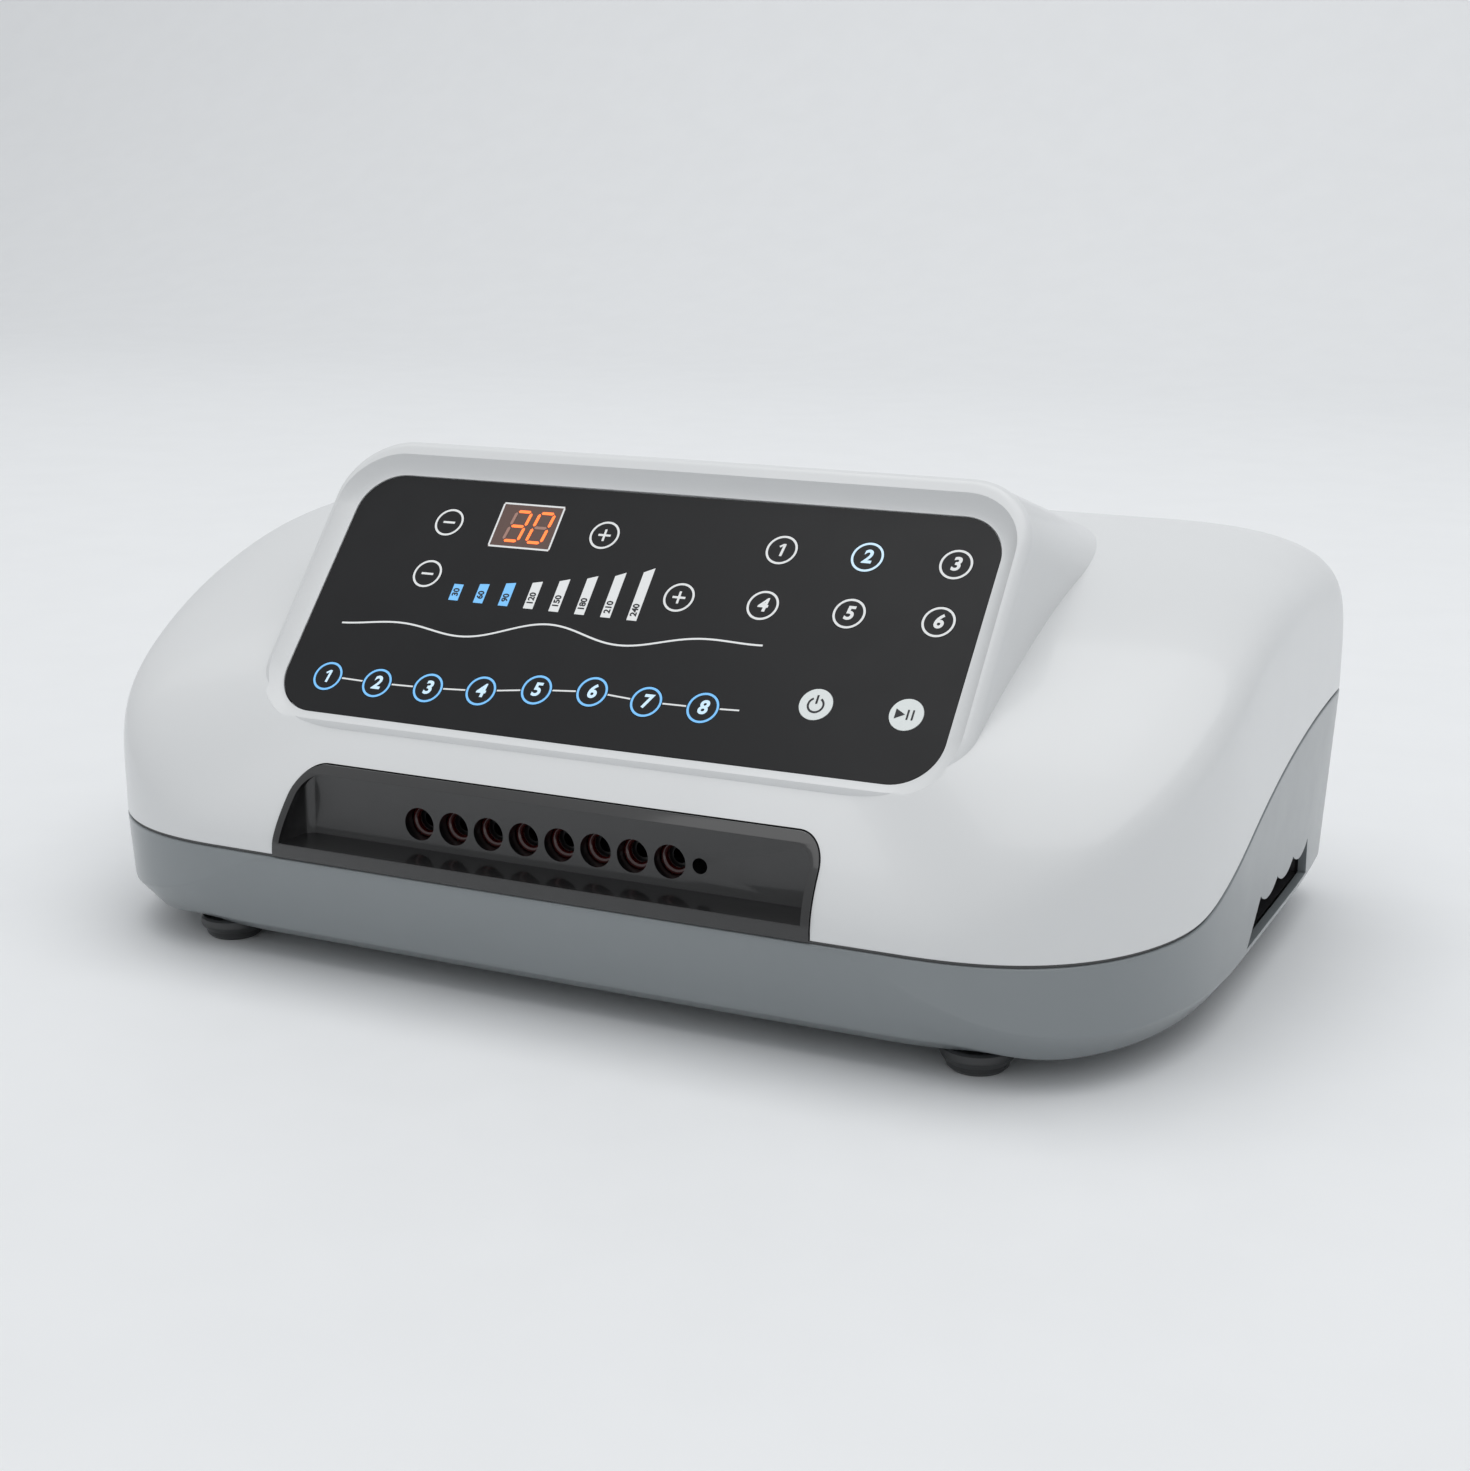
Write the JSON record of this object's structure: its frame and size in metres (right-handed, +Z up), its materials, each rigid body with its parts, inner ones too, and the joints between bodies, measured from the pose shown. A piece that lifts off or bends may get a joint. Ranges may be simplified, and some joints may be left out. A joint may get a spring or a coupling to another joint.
{
  "type": "compression therapy pump",
  "caption": "Table-top air compression pump with a sloping key panel, a row of hose ports in a front recess, a domed two-part case and rubber feet.",
  "frame": {"origin": "centre of the footprint, on the surface that the feet stand on", "axes": "+X to the right seen from the front, +Y to the rear, +Z up"},
  "size_m": [0.36, 0.229, 0.1494],
  "materials": {
    "white_case": "gloss white moulded ABS",
    "grey_case": "satin grey moulded ABS",
    "rubber": "black rubber",
    "black_gloss": "printed black polycarbonate sheet",
    "white_key": "white printed key",
    "black_satin": "satin black moulded ABS",
    "dark_plastic": "dark moulded plastic",
    "red_silicone": "red silicone rubber",
    "smoked_red": "smoked red acrylic",
    "natural_plastic": "natural moulded plastic",
    "board_green": "solder-masked circuit board",
    "bright_steel": "plated steel",
    "zinc_sheet": "zinc-plated sheet",
    "coil_blue": "moulded coil body",
    "copper": "enamelled copper wire",
    "clear_hose": "clear silicone hose",
    "chip_black": "moulded components",
    "ribbon_grey": "flat cable"
  },
  "bodies": {
    "housing": {"upper_cover": "white_case", "lower_case": "grey_case", "seam_gasket": "rubber", "feet": "rubber", "pump_mounts": "rubber", "panel_sheet": "black_gloss", "port_housing": "black_satin", "grip_left": "black_satin", "grip_right": "black_satin", "rear_panel": "black_satin", "mains_inlet": "black_satin", "fuse_drawer": "black_satin", "switch_body": "black_satin", "key_carrier": "dark_plastic", "nozzle_bar": "dark_plastic", "pump_head_left": "dark_plastic", "pump_head_right": "dark_plastic", "port_rings": "red_silicone", "display_window": "smoked_red", "display_module": "natural_plastic", "valve_rail": "natural_plastic", "pressure_sensor": "natural_plastic", "key_board": "board_green", "main_board": "board_green", "dome_switches": "bright_steel", "carrier_screws": "bright_steel", "foot_screws": "bright_steel", "case_screws": "bright_steel", "inlet_pins": "bright_steel", "pump_frame": "zinc_sheet", "transformer": "zinc_sheet", "valve_coils": "coil_blue", "pump_coils": "copper", "port_hoses": "clear_hose", "supply_hose": "clear_hose", "pump_link": "clear_hose", "board_parts": "chip_black", "ribbon_cable": "ribbon_grey"},
    "rocker": {"switch_rocker": "black_satin"},
    "armature": {"pump_armature": "bright_steel"},
    "key_time_down_body": {"key_time_down": "black_gloss"},
    "key_time_up_body": {"key_time_up": "black_gloss"},
    "key_pressure_down_body": {"key_pressure_down": "black_gloss"},
    "key_pressure_up_body": {"key_pressure_up": "black_gloss"},
    "key_mode_a_body": {"key_mode_a": "black_gloss"},
    "key_mode_b_body": {"key_mode_b": "black_gloss"},
    "key_mode_c_body": {"key_mode_c": "black_gloss"},
    "key_mode_d_body": {"key_mode_d": "black_gloss"},
    "key_mode_e_body": {"key_mode_e": "black_gloss"},
    "key_mode_f_body": {"key_mode_f": "black_gloss"},
    "key_power_body": {"key_power": "white_key"},
    "key_start_body": {"key_start": "white_key"},
    "key_cell_1_body": {"key_cell_1": "black_gloss"},
    "key_cell_2_body": {"key_cell_2": "black_gloss"},
    "key_cell_3_body": {"key_cell_3": "black_gloss"},
    "key_cell_4_body": {"key_cell_4": "black_gloss"},
    "key_cell_5_body": {"key_cell_5": "black_gloss"},
    "key_cell_6_body": {"key_cell_6": "black_gloss"},
    "key_cell_7_body": {"key_cell_7": "black_gloss"},
    "key_cell_8_body": {"key_cell_8": "black_gloss"}
  },
  "joints": [
    {"name": "key_time_down_press", "type": "slide", "parent": "housing", "child": "key_time_down_body", "axis": [0, 0.7361, -0.6769], "range_m": [0, 0.0004], "stiffness_N_per_m": 1200},
    {"name": "key_time_up_press", "type": "slide", "parent": "housing", "child": "key_time_up_body", "axis": [0, 0.7361, -0.6769], "range_m": [0, 0.0004], "stiffness_N_per_m": 1200},
    {"name": "key_pressure_down_press", "type": "slide", "parent": "housing", "child": "key_pressure_down_body", "axis": [0, 0.7361, -0.6769], "range_m": [0, 0.0004], "stiffness_N_per_m": 1200},
    {"name": "key_pressure_up_press", "type": "slide", "parent": "housing", "child": "key_pressure_up_body", "axis": [0, 0.7361, -0.6769], "range_m": [0, 0.0004], "stiffness_N_per_m": 1200},
    {"name": "key_mode_a_press", "type": "slide", "parent": "housing", "child": "key_mode_a_body", "axis": [0, 0.7361, -0.6769], "range_m": [0, 0.0004], "stiffness_N_per_m": 1200},
    {"name": "key_mode_b_press", "type": "slide", "parent": "housing", "child": "key_mode_b_body", "axis": [0, 0.7361, -0.6769], "range_m": [0, 0.0004], "stiffness_N_per_m": 1200},
    {"name": "key_mode_c_press", "type": "slide", "parent": "housing", "child": "key_mode_c_body", "axis": [0, 0.7361, -0.6769], "range_m": [0, 0.0004], "stiffness_N_per_m": 1200},
    {"name": "key_mode_d_press", "type": "slide", "parent": "housing", "child": "key_mode_d_body", "axis": [0, 0.7361, -0.6769], "range_m": [0, 0.0004], "stiffness_N_per_m": 1200},
    {"name": "key_mode_e_press", "type": "slide", "parent": "housing", "child": "key_mode_e_body", "axis": [0, 0.7361, -0.6769], "range_m": [0, 0.0004], "stiffness_N_per_m": 1200},
    {"name": "key_mode_f_press", "type": "slide", "parent": "housing", "child": "key_mode_f_body", "axis": [0, 0.7361, -0.6769], "range_m": [0, 0.0004], "stiffness_N_per_m": 1200},
    {"name": "key_power_press", "type": "slide", "parent": "housing", "child": "key_power_body", "axis": [0, 0.7361, -0.6769], "range_m": [0, 0.0004], "stiffness_N_per_m": 1200},
    {"name": "key_start_press", "type": "slide", "parent": "housing", "child": "key_start_body", "axis": [0, 0.7361, -0.6769], "range_m": [0, 0.0004], "stiffness_N_per_m": 1200},
    {"name": "key_cell_1_press", "type": "slide", "parent": "housing", "child": "key_cell_1_body", "axis": [0, 0.7361, -0.6769], "range_m": [0, 0.0004], "stiffness_N_per_m": 1200},
    {"name": "key_cell_2_press", "type": "slide", "parent": "housing", "child": "key_cell_2_body", "axis": [0, 0.7361, -0.6769], "range_m": [0, 0.0004], "stiffness_N_per_m": 1200},
    {"name": "key_cell_3_press", "type": "slide", "parent": "housing", "child": "key_cell_3_body", "axis": [0, 0.7361, -0.6769], "range_m": [0, 0.0004], "stiffness_N_per_m": 1200},
    {"name": "key_cell_4_press", "type": "slide", "parent": "housing", "child": "key_cell_4_body", "axis": [0, 0.7361, -0.6769], "range_m": [0, 0.0004], "stiffness_N_per_m": 1200},
    {"name": "key_cell_5_press", "type": "slide", "parent": "housing", "child": "key_cell_5_body", "axis": [0, 0.7361, -0.6769], "range_m": [0, 0.0004], "stiffness_N_per_m": 1200},
    {"name": "key_cell_6_press", "type": "slide", "parent": "housing", "child": "key_cell_6_body", "axis": [0, 0.7361, -0.6769], "range_m": [0, 0.0004], "stiffness_N_per_m": 1200},
    {"name": "key_cell_7_press", "type": "slide", "parent": "housing", "child": "key_cell_7_body", "axis": [0, 0.7361, -0.6769], "range_m": [0, 0.0004], "stiffness_N_per_m": 1200},
    {"name": "key_cell_8_press", "type": "slide", "parent": "housing", "child": "key_cell_8_body", "axis": [0, 0.7361, -0.6769], "range_m": [0, 0.0004], "stiffness_N_per_m": 1200},
    {"name": "rocker_tip", "type": "hinge", "parent": "housing", "child": "rocker", "pos_m": [0.08, 0.106, 0.043], "axis": [0, 0, 1], "range_deg": [0, 16]},
    {"name": "armature_stroke", "type": "slide", "parent": "housing", "child": "armature", "axis": [1, 0, 0], "range_m": [-0.0015, 0.0015], "stiffness_N_per_m": 4000}
  ]
}
